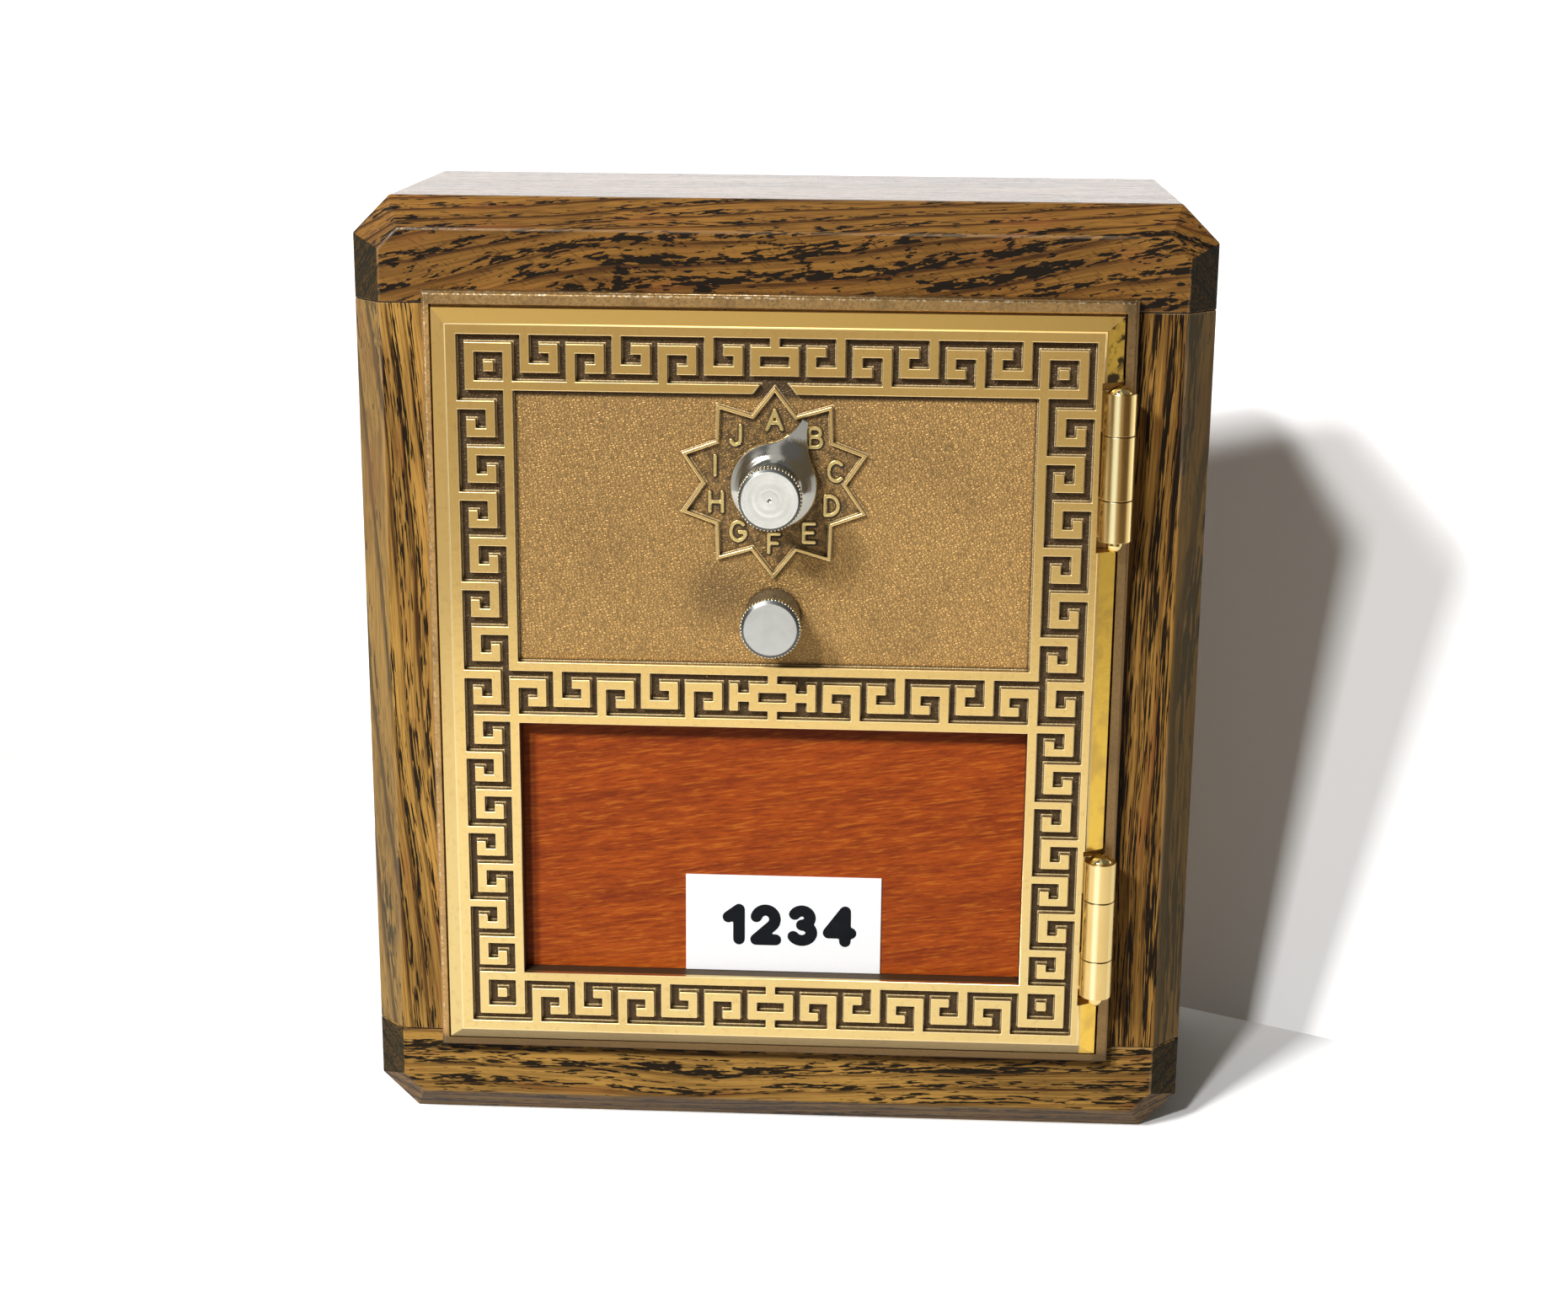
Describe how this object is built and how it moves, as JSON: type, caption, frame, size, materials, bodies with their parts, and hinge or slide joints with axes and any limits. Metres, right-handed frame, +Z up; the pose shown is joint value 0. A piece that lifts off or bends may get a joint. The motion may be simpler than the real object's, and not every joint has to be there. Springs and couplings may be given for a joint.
{
  "type": "strongbox",
  "caption": "Small wooden strongbox with a cast, hinged lock-box door in front: star dial, latch knob, number window, and a coin slot behind.",
  "frame": {"origin": "centre of the wooden box's underside, half way between the wood's front and back faces", "axes": "+Z up, the front looks along -Y, +X to the right as seen from the front"},
  "size_m": [0.1588, 0.0827, 0.1817],
  "materials": {
    "oak_board": "dark stained oak, satin lacquer, grain along the board",
    "oak_side": "dark stained oak, satin lacquer, grain upright",
    "oak_back": "stained oak plywood, satin",
    "brass_screw": "bright brass, slotted",
    "frame_casting": "antiqued cast brass, satin",
    "polished_brass": "polished brass",
    "door_casting": "antiqued cast brass, raised work rubbed bright",
    "cherry": "red cherry, satin lacquer, level grain",
    "card": "matt white card",
    "zinc_steel": "zinc plated sheet steel",
    "screw_steel": "zinc plated steel",
    "case_brass": "cast brass, as cast",
    "cover_brass": "rolled brass sheet",
    "dark_nickel": "glossy dark nickel",
    "satin_nickel": "satin nickel, knurled",
    "spindle_steel": "bright steel",
    "wheel_brass": "turned brass"
  },
  "bodies": {
    "box": {"top_board": "oak_board", "bottom_board": "oak_board", "left_board": "oak_side", "right_board": "oak_side", "back_panel": "oak_back", "back_screws": "brass_screw", "door_frame": "frame_casting", "frame_screws": "brass_screw", "frame_knuckles": "polished_brass", "upper_hinge_pin": "polished_brass", "lower_hinge_pin": "polished_brass"},
    "door": {"door_casting": "door_casting", "door_knuckles": "polished_brass", "window_panel": "cherry", "number_card": "card", "window_retainer": "zinc_steel", "retainer_screws": "screw_steel", "lock_case": "case_brass", "lock_cover": "cover_brass", "case_screws": "screw_steel", "bolt_stud": "screw_steel"},
    "dial": {"dial_pointer": "dark_nickel", "dial_knob": "satin_nickel", "dial_spindle": "spindle_steel", "drive_wheel": "wheel_brass", "spindle_washer": "screw_steel", "spindle_screw": "screw_steel"},
    "middle_wheel": {"middle_wheel": "wheel_brass"},
    "front_wheel": {"front_wheel": "wheel_brass"},
    "latch": {"latch_knob": "satin_nickel", "latch_spindle": "spindle_steel", "latch_cam": "spindle_steel", "latch_clip": "spindle_steel"},
    "bolt": {"latch_bolt": "spindle_steel", "bolt_fence": "spindle_steel", "fence_rivets": "spindle_steel"}
  },
  "joints": [
    {"name": "door_hinge", "type": "hinge", "parent": "box", "child": "door", "pos_m": [0.0616, -0.0374, 0], "axis": [0, 0, 1], "range_deg": [0, 180]},
    {"name": "dial_turn", "type": "hinge", "parent": "door", "child": "dial", "pos_m": [-0.00075, -0.037, 0.13115], "axis": [0, -1, 0], "continuous": true},
    {"name": "middle_wheel_turn", "type": "hinge", "parent": "door", "child": "middle_wheel", "pos_m": [-0.00075, -0.0272, 0.13115], "axis": [0, -1, 0], "continuous": true},
    {"name": "front_wheel_turn", "type": "hinge", "parent": "door", "child": "front_wheel", "pos_m": [-0.00075, -0.031, 0.13115], "axis": [0, -1, 0], "continuous": true},
    {"name": "latch_turn", "type": "hinge", "parent": "door", "child": "latch", "pos_m": [-0.00075, -0.037, 0.10615], "axis": [0, -1, 0], "range_deg": [0, 44.4]},
    {"name": "bolt_slide", "type": "slide", "parent": "door", "child": "bolt", "axis": [-1, 0, 0], "range_m": [0, 0.0053]}
  ],
  "couplings": [
    {"joint": "middle_wheel_turn", "follows": "dial_turn", "ratio": 1},
    {"joint": "front_wheel_turn", "follows": "dial_turn", "ratio": 1},
    {"joint": "bolt_slide", "follows": "latch_turn", "m_per_rad": 0.00683}
  ]
}
